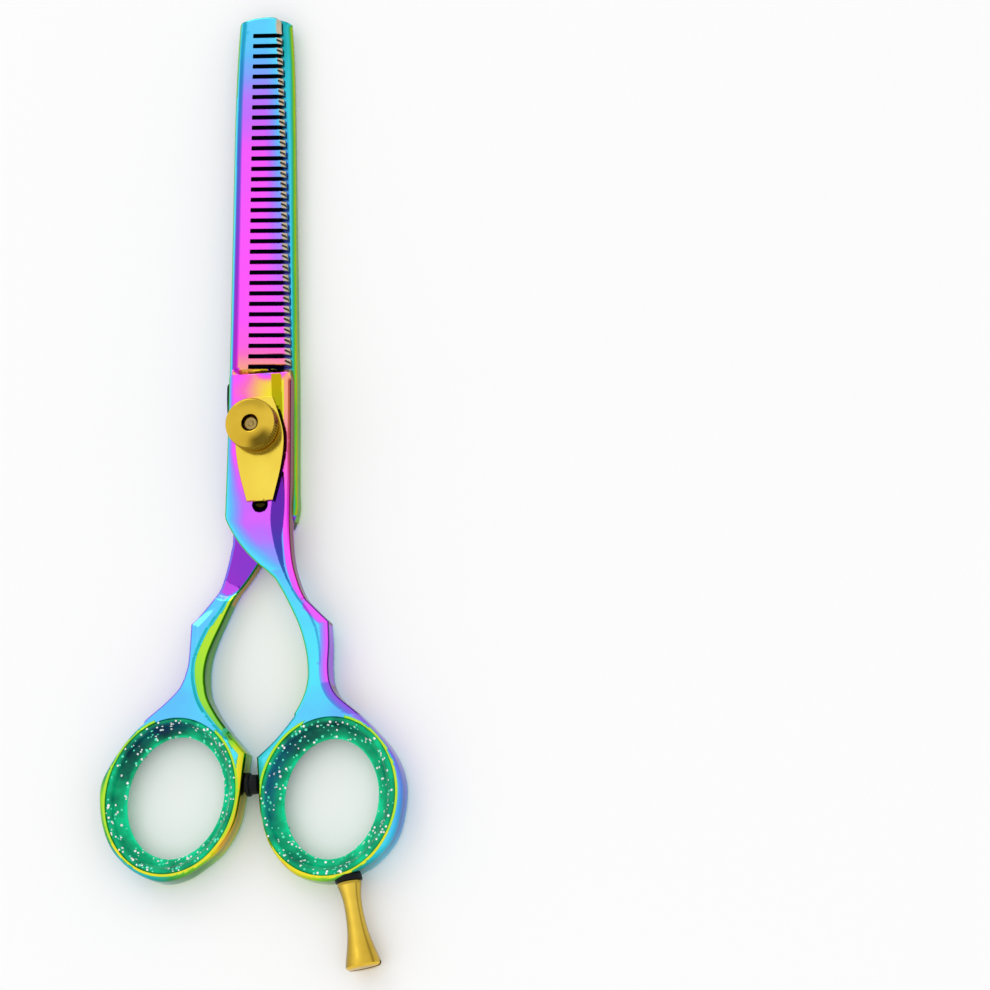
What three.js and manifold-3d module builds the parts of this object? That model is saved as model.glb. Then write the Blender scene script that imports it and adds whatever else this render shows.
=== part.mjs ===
// Thinning shears, closed and lying flat. Millimetres, +Z up, blade tips towards +Y.
// The origin is on the pivot axis, at the level of the pivot screw's flat head.

import * as THREE from 'three';
import { mergeVertices } from 'three/addons/utils/BufferGeometryUtils.js';
import Module from 'manifold-3d';

const wasm = await Module();
wasm.setup();

// Driving dimensions
const MATING = 3.1; // height of the plane where the two halves meet
const CLEARANCE = 0.15; // from that plane to each half
const GAP = 0.3; // between pieces that touch
const RING_HALF = 2.6; // half the thickness of a finger ring
const HUB = 2.75; // thickness of the toothed half's hub
const TEETH_TOP_TIP = 1.0; // teeth, above the mating plane at the tip
const TEETH_TOP_HEEL = 1.75; // teeth, above the mating plane at the shoulder
const SPINE_TOP_TIP = 1.2; // spine strip, above the mating plane at the tip
const SPINE_WIDTH = 1.25;
const TIP_Y = 74.4;
const SHOULDER_Y = 9.4;
const SHANK_RISE = [-27, -42]; // where a shank grows from half to full thickness

const SLOTS = 33;
const SLOT_FIRST_Y = 71.1;
const SLOT_LAST_Y = 11.2;
const SLOT_WIDTH = 0.74;
const SLOT_ROOT_TIP = -1.56;
const SLOT_ROOT_HEEL = -1.88;
const SLOT_SLANT = THREE.MathUtils.degToRad(-3.6);

const FINGER_HOLE = { x: 12.6, y: -63.7, a: 11.4, b: 13.15, lean: 6 };
const FINGER_THROAT = { x: 12.7, y: -63.9, a: 8.1, b: 10.1, lean: 6 };
const THUMB_HOLE = { x: -14.8, y: -62.6, a: 11.1, b: 13.1, lean: 14 };
const THUMB_THROAT = { x: -14.5, y: -62.7, a: 8.4, b: 10.4, lean: 14 };

const SHAFT_R = 2.0;
const THREAD_R = 1.1;
const SCREW_HEAD_R = 3.4;
const SCREW_HEAD_H = 1.0;
const LEAF_THICK = 0.45;
const KNOB_R = 4.4;
const KNOB_H = 3.2;
const KNOB_RIBS = 60;
const KNOB_BORE_R = 1.45;

const WASHER_R = 3.6; // bearing washer between the hubs
const WASHER_H = 0.5;
const WASHER_Z = MATING + CLEARANCE;

const BUMPER_STEM_R = 0.6;
const BUMPER_SEAT = new THREE.Vector3(-2.05, -60.9, MATING);

const REST_START = new THREE.Vector3(15.55, -77.15, MATING); // on the ring's outer wall
const REST_LEAN = THREE.MathUtils.degToRad(10.2); // from -Y towards +X
const REST_STUD_R = 0.8;
const REST_STUD_L = 0.3;
const REST_LENGTH = 14.4;
const SEAL_H = 1.0;

const HUB_TOP = MATING + CLEARANCE + HUB;
const RING_BOTTOM = MATING - RING_HALF;
const RING_TOP = MATING + RING_HALF;
const LEAF_Z = HUB_TOP + GAP;
const KNOB_Z = LEAF_Z + LEAF_THICK + GAP;
const BELOW = -5; // below, above and beyond every piece, for cutters
const ABOVE = 15;
const RING_END = -80;
const WIDE = 80;

// Materials
const rainbow = () => new THREE.MeshStandardMaterial({ color: 0xb070e0, roughness: 0.15, metalness: 1 });
const gold = () => new THREE.MeshStandardMaterial({ color: 0xe0b83c, roughness: 0.18, metalness: 1 });
const steel = () => new THREE.MeshStandardMaterial({ color: 0xb0a890, roughness: 0.3, metalness: 1 });
const silicone = () => new THREE.MeshStandardMaterial({ color: 0x10b078, roughness: 0.25, metalness: 0 });
const rubber = () => new THREE.MeshStandardMaterial({ color: 0x101010, roughness: 0.6, metalness: 0 });
const nylon = () => new THREE.MeshStandardMaterial({ color: 0xe8e6de, roughness: 0.5, metalness: 0 });

// Solids
function solid(geometry) {
  const bare = geometry.clone();
  bare.deleteAttribute('normal');
  bare.deleteAttribute('uv');
  const merged = mergeVertices(bare, 1e-5);
  const mesh = new wasm.Mesh({
    numProp: 3,
    vertProperties: new Float32Array(merged.attributes.position.array),
    triVerts: new Uint32Array(merged.index.array),
  });
  return new wasm.Manifold(mesh);
}

function geometryOf(body) {
  const mesh = body.getMesh();
  const geometry = new THREE.BufferGeometry();
  geometry.setAttribute('position', new THREE.BufferAttribute(mesh.vertProperties, 3));
  geometry.setIndex(new THREE.BufferAttribute(mesh.triVerts, 1));
  geometry.computeVertexNormals();
  return geometry;
}

// A plan shape made into a plate between two heights
function plate(shape, low, high, curveSegments = 3) {
  const settings = { depth: high - low, bevelEnabled: false, curveSegments };
  const geometry = new THREE.ExtrudeGeometry(shape, settings);
  geometry.translate(0, 0, low);
  return solid(geometry);
}

// A side view, as [y, z] corners, made into a bar across the whole width
function sideBar(corners) {
  const shape = new THREE.Shape(corners.map(([y, z]) => new THREE.Vector2(y, z)));
  const geometry = new THREE.ExtrudeGeometry(shape, { depth: WIDE, bevelEnabled: false });
  geometry.applyMatrix4(new THREE.Matrix4().set(0, 0, 1, -WIDE / 2, 1, 0, 0, 0, 0, 1, 0, 0, 0, 0, 0, 1));
  return solid(geometry);
}

// A round body on the Z axis, from [radius, z] corners that start and end on the axis
function turned(corners, segments = 32) {
  return solid(new THREE.LatheGeometry(corners.map(([r, z]) => new THREE.Vector2(r, z)), segments)
    .rotateX(Math.PI / 2));
}

function cylinder(radius, low, high, segments = 32) {
  return turned([[0, low], [radius, low], [radius, high], [0, high]], segments);
}

// A leaning ellipse as a closed path; grow moves its edge outwards
function ellipse({ x, y, a, b, lean }, grow = 0) {
  const path = new THREE.Shape();
  path.absellipse(x, y, a + grow, b + grow, 0, Math.PI * 2, false, THREE.MathUtils.degToRad(-lean));
  return path;
}

// An outline from stretches of points: 'curve' stretches are splines, 'line' stretches straight
function outline(stretches) {
  const shape = new THREE.Shape();
  stretches.forEach(([kind, points], i) => {
    const vectors = points.map(([x, y]) => new THREE.Vector2(x, y));
    if (i === 0) shape.moveTo(vectors[0].x, vectors[0].y);
    if (kind === 'curve') shape.curves.push(new THREE.SplineCurve([shape.currentPoint.clone(), ...vectors]));
    if (kind === 'line') vectors.forEach((v) => shape.lineTo(v.x, v.y));
    shape.currentPoint.copy(vectors[vectors.length - 1]);
  });
  return shape;
}

// Plan outlines, clockwise from the left corner of the tip
function toothedOutline() {
  return outline([
    ['line', [[-3.9, 73.5]]],
    ['curve', [[-2.0, 74.2], [1.0, 74.4], [2.6, 74.1], [3.4, 73.4]]],
    ['curve', [[4.15, 55.1], [4.8, 33.4], [5.55, 11.1]]],
    ['line', [[5.85, 9.4]]],
    ['curve', [[6.0, 7.4], [6.0, -1], [6.0, -9], [5.9, -17], [6.3, -22.7], [7.1, -26.2], [8.4, -29.5],
      [10.3, -31.7], [12.6, -34.0]]],
    ['curve', [[12.7, -37.8], [12.5, -41.8], [12.9, -44.7], [14.3, -47.0], [18.2, -50.4], [22.8, -55.6],
      [25.0, -60.4], [25.2, -65.0], [23.8, -70.6], [20.5, -74.6], [16.3, -76.95], [11.9, -77.95],
      [6.7, -76.5], [2.6, -71.9], [0.8, -66.0], [0.4, -61.0], [0.1, -56.6]]],
    ['curve', [[3.4, -53.6], [6.6, -49.8], [8.2, -47.0], [9.0, -44.3], [9.1, -41.7], [8.6, -38.1],
      [7.2, -33.7], [4.0, -27.3], [2.2, -25.2], [0.85, -24.0]]],
    ['line', [[-5.5, -15.4]]],
    ['curve', [[-5.2, -5.0], [-4.95, 8.0], [-4.75, 34.0], [-4.6, 55.7], [-4.25, 67.7], [-3.9, 73.5]]],
  ]);
}

function plainOutline() {
  return outline([
    ['line', [[-2.2, 72.6]]],
    ['curve', [[-0.6, 73.7], [1.6, 74.1], [3.8, 73.8], [5.1, 73.0]]],
    ['curve', [[5.65, 62.4], [6.0, 34.0], [6.3, 5.5], [6.4, -14.2]]],
    ['line', [[5.6, -16.9], [-0.3, -23.3]]],
    ['curve', [[-2.1, -25.9], [-4.1, -28.5], [-6.1, -32.5], [-7.7, -36.1], [-8.7, -39.2], [-9.0, -42.2],
      [-8.7, -45.5], [-7.4, -48.3], [-5.5, -51.1], [-1.7, -55.8]]],
    ['curve', [[-2.1, -58.5], [-2.6, -62.6], [-3.7, -67.6], [-6.2, -71.8], [-9.6, -74.6], [-12.8, -76.4],
      [-16.5, -77.0], [-20.1, -75.8], [-23.1, -73.7], [-25.4, -70.9], [-26.8, -67.4], [-27.4, -63.3],
      [-27.1, -59.8], [-25.2, -56.2], [-22.7, -52.8], [-20.0, -50.1], [-15.5, -46.5], [-13.0, -43.8],
      [-12.0, -41.0], [-11.8, -37.8], [-11.8, -33.2]]],
    ['curve', [[-9.6, -30.9], [-7.4, -28.0], [-6.3, -25.3], [-5.2, -20.9], [-4.85, -17.8], [-5.3, -9.0],
      [-5.7, -2.0], [-6.1, 5.0], [-6.1, 8.4]]],
    ['curve', [[-4.4, 11.5], [-3.1, 16.0], [-2.8, 40.0], [-2.2, 72.6]]],
  ]);
}

// The comb: one cutter per slot, from the root out past the tooth tips
function slotCutters() {
  const cutters = [];
  for (let i = 0; i < SLOTS; i += 1) {
    const along = i / (SLOTS - 1);
    const y = THREE.MathUtils.lerp(SLOT_FIRST_Y, SLOT_LAST_Y, along);
    const root = THREE.MathUtils.lerp(SLOT_ROOT_TIP, SLOT_ROOT_HEEL, along);
    const box = new THREE.BoxGeometry(20, SLOT_WIDTH, 20);
    box.translate(10, 0, 0);
    box.rotateZ(SLOT_SLANT);
    box.translate(root, y, 0);
    cutters.push(solid(box));
  }
  return cutters;
}

// The blade's face beside the spine is ground lower than the hub, from the shoulder to the tip
function hollowGrind() {
  const side = sideBar([
    [TIP_Y + 1, MATING + TEETH_TOP_TIP], [TIP_Y + 1, ABOVE], [SHOULDER_Y, ABOVE],
    [SHOULDER_Y, MATING + TEETH_TOP_HEEL],
  ]);
  const spine = [[-4.9, SHOULDER_Y - 1], [-4.6, 55], [-3.9, TIP_Y + 2]].map(([x, y]) => [x + SPINE_WIDTH, y]);
  const face = outline([['line', [...spine, [WIDE / 2, TIP_Y + 2], [WIDE / 2, SHOULDER_Y - 1]]]]);
  return plate(face, BELOW, ABOVE).intersect(side);
}

function toothedHalf() {
  const bottom = MATING + CLEARANCE;
  let body = plate(toothedOutline(), BELOW, ABOVE).intersect(sideBar([
    [TIP_Y + 1, bottom], [TIP_Y + 1, MATING + SPINE_TOP_TIP], [SHOULDER_Y, HUB_TOP], [SHANK_RISE[0], HUB_TOP],
    [SHANK_RISE[1], RING_TOP], [RING_END, RING_TOP], [RING_END, RING_BOTTOM], [SHANK_RISE[1], RING_BOTTOM],
    [SHANK_RISE[0], bottom],
  ])).subtract(hollowGrind());
  body = body.subtract(plate(ellipse(FINGER_HOLE, GAP / 2), BELOW, ABOVE, 24));
  slotCutters().forEach((cutter) => { body = body.subtract(cutter); });
  body = body.subtract(cylinder(SHAFT_R + 0.15, BELOW, ABOVE));
  body = body.subtract(cylinder(WASHER_R + GAP, BELOW, WASHER_Z + WASHER_H + GAP));
  return body.subtract(alongRest(cylinder(REST_STUD_R + GAP, -REST_STUD_L - GAP, 2, 16)));
}

function plainHalf() {
  const top = MATING - CLEARANCE;
  let body = plate(plainOutline(), BELOW, ABOVE).intersect(sideBar([
    [TIP_Y + 1, MATING - TEETH_TOP_TIP - 0.2], [TIP_Y + 1, top], [SHANK_RISE[0], top],
    [SHANK_RISE[1], RING_TOP], [RING_END, RING_TOP], [RING_END, RING_BOTTOM], [SHANK_RISE[1], RING_BOTTOM],
    [-20, 0.3], [-12, 0.1], [SHOULDER_Y, 0.1], [16, 0.5],
  ]));
  body = body.subtract(plate(ellipse(THUMB_HOLE, GAP / 2), BELOW, ABOVE, 24));
  body = body.subtract(cylinder(SHAFT_R + GAP, BELOW, ABOVE));
  body = body.subtract(cylinder(SCREW_HEAD_R + GAP, BELOW, SCREW_HEAD_H + GAP));
  return body.subtract(alongBumper(cylinder(BUMPER_STEM_R + GAP, -2, 2, 16)));
}

// Pivot: screw from below, bearing washer between the hubs, leaf spring and thumb nut on top
function pivotScrew() {
  const shoulder = HUB_TOP - 0.1;
  const top = KNOB_Z + KNOB_H - 0.8;
  return turned([
    [0, 0], [SCREW_HEAD_R - 0.2, 0], [SCREW_HEAD_R, 0.2], [SCREW_HEAD_R, SCREW_HEAD_H],
    [SHAFT_R, SCREW_HEAD_H], [SHAFT_R, shoulder], [THREAD_R, shoulder],
    [THREAD_R, top - 0.15], [THREAD_R - 0.15, top], [0, top],
  ]);
}

function bearingWasher() {
  return cylinder(WASHER_R, WASHER_Z, WASHER_Z + WASHER_H).subtract(cylinder(SHAFT_R + GAP, BELOW, ABOVE));
}

function leafSpring() {
  const middle = 0.75;
  const side = (s) => [[2.2, 5.3], [3.5, 1.6], [4.25, -2.2], [3.75, -7.0], [2.3, -12.8]]
    .map(([x, y]) => [middle + s * x, y]);
  const shape = outline([
    ['line', [side(-1)[0], side(1)[0]]],
    ['curve', side(1).slice(1)],
    ['line', [[middle + 1.15, -12.8]]],
    ['curve', [[middle + 0.8, -13.6], [middle, -13.95], [middle - 0.8, -13.6], [middle - 1.15, -12.8]]],
    ['line', [side(-1)[4]]],
    ['curve', side(-1).slice(0, 4).reverse()],
  ]);
  return plate(shape, LEAF_Z, LEAF_Z + LEAF_THICK).subtract(cylinder(THREAD_R + 0.6, BELOW, ABOVE));
}

function tensionKnob() {
  const ribs = new THREE.Shape();
  for (let i = 0; i < KNOB_RIBS * 2; i += 1) {
    const angle = (i / KNOB_RIBS) * Math.PI;
    const radius = i % 2 ? KNOB_R : KNOB_R - 0.2;
    ribs[i ? 'lineTo' : 'moveTo'](radius * Math.cos(angle), radius * Math.sin(angle));
  }
  ribs.closePath();
  const blank = turned([
    [0, KNOB_Z], [KNOB_R - 0.3, KNOB_Z], [KNOB_R + 0.1, KNOB_Z + 0.4], [KNOB_R + 0.1, KNOB_Z + KNOB_H - 0.4],
    [KNOB_R - 0.3, KNOB_Z + KNOB_H], [0, KNOB_Z + KNOB_H],
  ]);
  return plate(ribs, KNOB_Z, KNOB_Z + KNOB_H).intersect(blank).subtract(cylinder(KNOB_BORE_R, BELOW, ABOVE));
}

// Silicone sizing ring: the hole's ellipse with a narrower throat at half height
function sizingRing(hole, throat) {
  const mouth = { ...throat, a: hole.a - 0.9, b: hole.b - 0.9 };
  const low = RING_BOTTOM + 0.1;
  const high = RING_TOP - 0.1;
  const steps = 40;
  const rings = [[hole, -GAP / 2, low], [hole, -GAP / 2, high], [mouth, 0, high], [throat, 0, MATING + 0.5],
    [throat, 0, MATING - 0.5], [mouth, 0, low]];
  const positions = [];
  rings.forEach(([shape, grow, z]) => ellipse(shape, grow).getPoints(steps / 2).slice(0, steps)
    .forEach((p) => positions.push(p.x, p.y, z)));
  const index = [];
  for (let r = 0; r < rings.length; r += 1) {
    for (let i = 0; i < steps; i += 1) {
      const next = (i + 1) % steps;
      const other = (r + 1) % rings.length;
      const [a, b, c, d] = [r * steps + i, r * steps + next, other * steps + next, other * steps + i];
      index.push(a, b, c, a, c, d);
    }
  }
  const geometry = new THREE.BufferGeometry();
  geometry.setAttribute('position', new THREE.Float32BufferAttribute(positions, 3));
  geometry.setIndex(index);
  return solid(geometry);
}

// Rubber bumper, pressed into the thumb ring's wall and facing the finger ring
function alongBumper(body) {
  return body.rotate([0, 90, 0]).translate(BUMPER_SEAT.toArray());
}

function bumper() {
  return alongBumper(turned([
    [0, -0.75], [BUMPER_STEM_R, -0.75], [BUMPER_STEM_R, 0], [2.0, 0], [2.05, 0.6], [1.65, 0.8], [1.65, 2.0],
    [1.3, 2.3], [0, 2.3],
  ], 20));
}

// Finger rest: flared stud with a slotted end, on a rubber washer
function alongRest(body) {
  return body.rotate([90, 0, 0]).rotate([0, 0, THREE.MathUtils.radToDeg(REST_LEAN)])
    .translate(REST_START.toArray());
}

function restWasher() {
  const low = GAP;
  const high = low + SEAL_H;
  return alongRest(turned([[0, low], [2.0, low], [2.3, low + 0.3], [2.3, high], [0, high]], 24)
    .subtract(cylinder(REST_STUD_R + GAP, BELOW, ABOVE, 16)));
}

function fingerRest() {
  const foot = GAP + SEAL_H + GAP;
  const end = foot + REST_LENGTH - 1.0;
  const slot = solid(new THREE.BoxGeometry(8, 0.8, 1.6).translate(0, 0, end + 0.6));
  return alongRest(turned([
    [0, -REST_STUD_L], [REST_STUD_R, -REST_STUD_L], [REST_STUD_R, foot], [2.1, foot], [1.98, foot + 0.7],
    [1.76, foot + 1.6], [1.5, foot + 3.4], [1.5, foot + 5.4], [1.78, foot + 8.4], [2.35, foot + 10.8],
    [2.8, foot + 12.3], [3.0, end], [2.95, end + 0.3], [2.6, end + 0.6], [0, end + 0.75],
  ], 24).subtract(slot));
}

const shears = new THREE.Group();

function add(name, body, material) {
  const mesh = new THREE.Mesh(geometryOf(body), material);
  mesh.name = name;
  shears.add(mesh);
}

add('toothed_half', toothedHalf(), rainbow());
add('plain_half', plainHalf(), rainbow());
add('pivot_screw', pivotScrew(), steel());
add('bearing_washer', bearingWasher(), nylon());
add('leaf_spring', leafSpring(), gold());
add('tension_knob', tensionKnob(), gold());
add('finger_insert', sizingRing(FINGER_HOLE, FINGER_THROAT), silicone());
add('thumb_insert', sizingRing(THUMB_HOLE, THUMB_THROAT), silicone());
add('bumper', bumper(), rubber());
add('finger_rest', fingerRest(), gold());
add('finger_rest_washer', restWasher(), rubber());

export default shears;
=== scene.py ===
import math
import random

import bmesh
import bpy
import numpy as np
from mathutils import Matrix, Vector, geometry


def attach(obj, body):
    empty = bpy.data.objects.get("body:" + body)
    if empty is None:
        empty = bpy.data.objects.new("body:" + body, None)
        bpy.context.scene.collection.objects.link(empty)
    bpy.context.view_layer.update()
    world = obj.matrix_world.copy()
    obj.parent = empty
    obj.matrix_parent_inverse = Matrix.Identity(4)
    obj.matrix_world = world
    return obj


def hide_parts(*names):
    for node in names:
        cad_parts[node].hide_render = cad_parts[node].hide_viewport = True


# Sizes are in millimetres in this script and become metres when a mesh is made.
MM = 0.001

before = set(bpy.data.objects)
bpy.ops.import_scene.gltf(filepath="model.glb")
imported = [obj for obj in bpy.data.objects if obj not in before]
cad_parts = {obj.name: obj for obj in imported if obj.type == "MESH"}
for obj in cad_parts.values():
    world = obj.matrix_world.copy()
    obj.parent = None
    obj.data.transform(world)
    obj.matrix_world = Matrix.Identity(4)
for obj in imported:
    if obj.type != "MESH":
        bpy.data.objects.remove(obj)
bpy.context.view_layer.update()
rng = random.Random(7)

MATING = 3.1  # height of the plane where the two halves meet
HUB_TOP = 6.0
RING_TOP = 5.7
RING_LOW = 0.5
TIP_Y = 74.4
SHOULDER_Y = 9.4
SHANK_RISE = (-27.0, -42.0)
SPINE_CREST = 0.45  # from the back edge of the comb blade to the crest of its spine
SPINE_END = 1.3
TOOTH_FACET = 0.82

LEVELS = (0.1, 0.25, 0.45, 0.7, 1.0, 1.35, 1.8, 2.4)  # contour lines inside each plan edge
EDGE_STEP = 0.3
GRID_STEP = 0.5


# ---------------------------------------------------------------- plan shapes

def plan_loops(node, side):
    """The outline of a CAD node seen from above (side 1) or below (side -1), counterclockwise."""
    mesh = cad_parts[node].data
    edges = set()
    for polygon in mesh.polygons:
        in_bore = polygon.center.y < -50 * MM and abs(polygon.center.z / MM - MATING) < 2
        if polygon.normal.z * side < 0.3 or in_bore:
            continue
        places = [mesh.vertices[i].co for i in polygon.vertices]
        corners = [(round(p.x / MM, 3), round(p.y / MM, 3)) for p in places]
        for a, b in zip(corners, corners[1:] + corners[:1]):
            if (b, a) in edges:
                edges.remove((b, a))
            elif a != b:
                edges.add((a, b))
    following = dict(edges)
    loops = []
    while following:
        start, place = following.popitem()
        loop = [start]
        while place != start and place in following:
            loop.append(place)
            place = following.pop(place)
        if len(loop) > 2:
            loops.append(np.array(loop if side > 0 else loop[::-1]))
    return loops


def circle(x, y, radius, count=40):
    """A round hole, clockwise."""
    angles = -np.arange(count) * 2 * math.pi / count
    return np.stack([x + radius * np.cos(angles), y + radius * np.sin(angles)], 1)


def turn_angles(loop):
    before = loop - np.roll(loop, 1, 0)
    after = np.roll(loop, -1, 0) - loop
    cross = before[:, 0] * after[:, 1] - before[:, 1] * after[:, 0]
    return np.abs(np.arctan2(cross, (before * after).sum(1)))


def hermite(points, step, closed=False):
    """A smooth curve through points, sampled about every step, without its last point."""
    lengths = np.hypot(*np.diff(points, axis=0).T)
    t = np.concatenate([[0], np.cumsum(lengths)])
    slopes = np.diff(points, axis=0) / lengths[:, None]
    tangents = np.empty_like(points)
    weights = (lengths[1:] / (lengths[1:] + lengths[:-1]))[:, None]
    tangents[1:-1] = slopes[:-1] * weights + slopes[1:] * (1 - weights)
    if closed:
        tangents[0] = tangents[-1] = (slopes[0] + slopes[-1]) / 2
    elif len(points) > 2:
        tangents[0] = 2 * slopes[0] - tangents[1]
        tangents[-1] = 2 * slopes[-1] - tangents[-2]
    else:
        tangents[:] = slopes[0]
    count = max(1, math.ceil(t[-1] / step))
    at = np.arange(count) * t[-1] / count
    i = np.clip(np.searchsorted(t, at, side="right") - 1, 0, len(lengths) - 1)
    h = lengths[i][:, None]
    u = ((at - t[i]) / lengths[i])[:, None]
    return ((2 * u ** 3 - 3 * u ** 2 + 1) * points[i] + (u ** 3 - 2 * u ** 2 + u) * h * tangents[i]
            + (3 * u ** 2 - 2 * u ** 3) * points[i + 1] + (u ** 3 - u ** 2) * h * tangents[i + 1])


def dense(curve, step=0.1):
    """A smooth curve through a few points, with its last point."""
    points = np.array(curve, float)
    return np.vstack([hermite(points, step), points[-1:]])


def smooth_loop(loop, step=EDGE_STEP, corner=math.radians(21)):
    corners = np.nonzero(turn_angles(loop) > corner)[0]
    if len(corners) == 0:
        return hermite(np.vstack([loop, loop[:1]]), step, closed=True)
    loop = np.roll(loop, -corners[0], 0)
    corners = list(corners - corners[0]) + [len(loop)]
    loop = np.vstack([loop, loop[:1]])
    return np.vstack([hermite(loop[a:b + 1], step) for a, b in zip(corners, corners[1:])])


class Plan:
    """Smoothed plan loops with distances to the edges that belong to a named class."""

    def __init__(self, loops, edge_class):
        self.loops = loops
        self.start = np.vstack(loops)
        self.end = np.vstack([np.roll(loop, -1, 0) for loop in loops])
        middle = (self.start + self.end) / 2
        hole = np.concatenate([np.full(len(loop), i > 0) for i, loop in enumerate(loops)])
        self.kind = np.array([edge_class(x, y, h) for (x, y), h in zip(middle, hole)])
        self.known = {}

    def distance(self, points, kind=None):
        key = (kind, points.tobytes())
        if key not in self.known:
            self.known[key] = self.measure(points, kind)
        return self.known[key]

    def measure(self, points, kind):
        chosen = np.ones(len(self.kind), bool) if kind is None else self.kind == kind
        start, along = self.start[chosen], (self.end - self.start)[chosen]
        if len(start) == 0:
            return np.full(len(points), 99.0)
        length2 = (along ** 2).sum(1)
        result = np.empty(len(points))
        for at in range(0, len(points), 1000):
            part = points[at:at + 1000]
            offset = part[:, None] - start[None]
            t = np.clip((offset * along).sum(2) / length2, 0, 1)
            gap = offset - t[..., None] * along
            result[at:at + 1000] = np.sqrt((gap ** 2).sum(2).min(1))
        return result

    def inside(self, points):
        result = np.empty(len(points), bool)
        x1, y1, x2, y2 = *self.start.T, *self.end.T
        for at in range(0, len(points), 1000):
            x, y = points[at:at + 1000, 0, None], points[at:at + 1000, 1, None]
            spans = (y1 > y) != (y2 > y)
            rise = np.where(y2 == y1, 1, y2 - y1)
            result[at:at + 1000] = (spans & (x < x1 + (y - y1) * (x2 - x1) / rise)).sum(1) % 2
        return result

    def contour(self, depth, below=99.0):
        """Points at one distance inside the edges, where y is less than a limit."""
        points = []
        for loop in self.loops:
            before = loop - np.roll(loop, 1, 0)
            after = np.roll(loop, -1, 0) - loop
            sides = [np.stack([-v[:, 1], v[:, 0]], 1) / np.hypot(*v.T)[:, None] for v in (before, after)]
            normal = sides[0] + sides[1]
            normal /= np.maximum(np.hypot(*normal.T), 1e-6)[:, None]
            reach = 1 / np.maximum((normal * sides[0]).sum(1), 0.5)
            points.append(loop + normal * (depth * reach)[:, None])
            points.append(loop + sides[1] * depth)
        points = np.vstack(points)
        points = points[points[:, 1] < below]
        return points[self.inside(points) & (self.distance(points) > depth * 0.96)]

    def grid(self, step, margin):
        low, high = self.start.min(0), self.start.max(0)
        xs, ys = np.arange(low[0], high[0], step), np.arange(low[1], high[1], step * 0.87)
        points = np.array([(x + step / 2 * (j % 2), y) for j, y in enumerate(ys) for x in xs])
        points = points[self.inside(points)]
        return points[self.distance(points) > margin]


def thin_out(points, gap):
    """Drops points that lie closer than gap to a kept one."""
    kept, cells = [], {}
    for x, y in points:
        cell = (int(x // gap), int(y // gap))
        near = [q for i in (-1, 0, 1) for j in (-1, 0, 1) for q in cells.get((cell[0] + i, cell[1] + j), [])]
        if all((x - a) ** 2 + (y - b) ** 2 > gap * gap for a, b in near):
            cells.setdefault(cell, []).append((x, y))
            kept.append((x, y))
    return np.array(kept)


# --------------------------------------------------------------------- meshes

def make_mesh(name, vertices, faces, attributes=None, sharp=30):
    mesh = bpy.data.meshes.new(name)
    mesh.from_pydata([tuple(c * MM for c in v) for v in vertices], [], faces)
    for key, values in (attributes or {}).items():
        layer = mesh.attributes.new(key, "FLOAT", "POINT")
        layer.data.foreach_set("value", np.asarray(values, np.float32))
    mesh.shade_smooth()
    mesh.set_sharp_from_angle(angle=math.radians(sharp))
    mesh.validate()
    piece = bpy.data.objects.new(name, mesh)
    bpy.context.scene.collection.objects.link(piece)
    return piece


def triangulated(plan, extra=()):
    """The plan filled with triangles: (points, triangles, loops as point numbers)."""
    loop_ids, count = [], 0
    for loop in plan.loops:
        loop_ids.append(np.arange(count, count + len(loop)))
        count += len(loop)
    rows = [plan.contour(depth) for depth in LEVELS] + [plan.grid(GRID_STEP, LEVELS[-1] + 0.3)]
    if len(extra):
        rows.insert(0, np.array(extra))
    inner = thin_out(np.vstack(rows), 0.085)
    inner = inner[plan.inside(inner) & (plan.distance(inner) > 0.07)]
    points = np.vstack([plan.start, inner])
    edges = [(int(a), int(b)) for ids in loop_ids for a, b in zip(ids, np.roll(ids, -1))]
    found = geometry.delaunay_2d_cdt([Vector(p) for p in points], edges, [], 0, 1e-6)
    places = np.array([tuple(v) for v in found[0]])
    renumber = {source: new for new, sources in enumerate(found[3]) for source in sources}
    triangles = np.array(found[2])
    middles = places[triangles].mean(1)
    triangles = triangles[plan.inside(middles)]
    return places, triangles, [[renumber[int(i)] for i in ids] for ids in loop_ids]


def slab(name, plan, top, bottom, paint_top, paint_bottom, paint_wall, walls=5, extra=()):
    """A solid plate over a plan; top and bottom give heights, the paints give coating colour and painted
    light and shade.
    """
    places, triangles, loops = triangulated(plan, extra)
    count = len(places)
    high, low = top(places), bottom(places)
    vertices = [np.column_stack([places, high]), np.column_stack([places, low])]
    faces = [tuple(t) for t in triangles] + [tuple(t[::-1] + count) for t in triangles]
    colours = [paint_top(places), paint_bottom(places)]
    start = 2 * count
    for ids in loops:
        ring = places[ids]
        rows = [np.array(ids)]
        for level in range(1, walls):
            share = level / walls
            heights = high[ids] * (1 - share) + low[ids] * share
            vertices.append(np.column_stack([ring, heights]))
            colours.append(paint_wall(ring, np.full(len(ring), share)))
            rows.append(np.arange(start, start + len(ids)))
            start += len(ids)
        rows.append(np.array(ids) + count)
        for a, b in zip(rows, rows[1:]):
            for i, j in zip(range(len(ids)), list(range(1, len(ids))) + [0]):
                faces.append((a[i], b[i], b[j], a[j]))
    attributes = {key: np.concatenate([c[key] for c in colours]) for key in ("tint", "shade", "bare")}
    return make_mesh(name, np.vstack(vertices), [tuple(map(int, f)) for f in faces], attributes, 28)


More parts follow.
